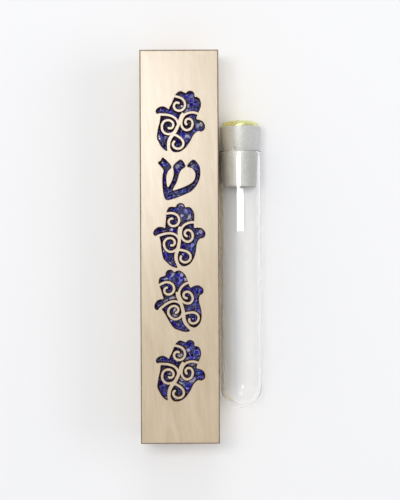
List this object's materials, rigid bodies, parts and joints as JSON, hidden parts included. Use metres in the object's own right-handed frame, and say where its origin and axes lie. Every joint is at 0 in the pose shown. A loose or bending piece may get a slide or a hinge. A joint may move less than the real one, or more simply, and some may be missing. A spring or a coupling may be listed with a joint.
{
  "type": "mezuzah case",
  "caption": "Slim wooden doorpost case with a cut-out front over crushed blue glass, a sliding back, a rolled scroll and a stoppered glass vial.",
  "frame": {"origin": "middle of the case's back face, which goes against the doorpost", "axes": "+Z out of the fretwork front, +Y towards the top end, +X towards the case's right side, where the vial lies"},
  "size_m": [0.0468, 0.15, 0.0258],
  "materials": {
    "front_maple": "sanded pale maple, charred at the cut edges",
    "side_maple": "sanded pale maple",
    "inner_maple": "planed maple, unfinished",
    "crushed_glass": "crushed cobalt-blue glass set close, glossy broken faces",
    "parchment": "matt parchment",
    "clear_glass": "clear drawn glass with a fire-polished mouth",
    "silvered_cork": "cork painted satin silver-grey",
    "gold_cap": "polished pale gold"
  },
  "bodies": {
    "case": {"front_panel": "front_maple", "glass_bed": "crushed_glass", "glass_tray": "inner_maple", "left_side": "side_maple", "right_side": "side_maple", "top_end": "side_maple"},
    "back_slide": {"back_plate": "inner_maple", "bottom_end": "side_maple", "upper_rest": "inner_maple", "lower_rest": "inner_maple"},
    "scroll": {"scroll": "parchment"},
    "vial": {"vial_tube": "clear_glass"},
    "stopper": {"stopper": "silvered_cork", "stopper_cap": "gold_cap"}
  },
  "joints": [
    {"name": "back_out", "type": "slide", "parent": "case", "child": "back_slide", "axis": [0, -1, 0], "range_m": [0, 0.14]},
    {"name": "scroll_lift", "type": "slide", "parent": "back_slide", "child": "scroll", "axis": [0, 0, 1], "range_m": [0, 0.0072]},
    {"name": "vial_away", "type": "slide", "parent": "case", "child": "vial", "axis": [1, 0, 0], "range_m": [0, 0.06]},
    {"name": "stopper_pull", "type": "slide", "parent": "vial", "child": "stopper", "axis": [0, 1, 0], "range_m": [0, 0.03]}
  ]
}
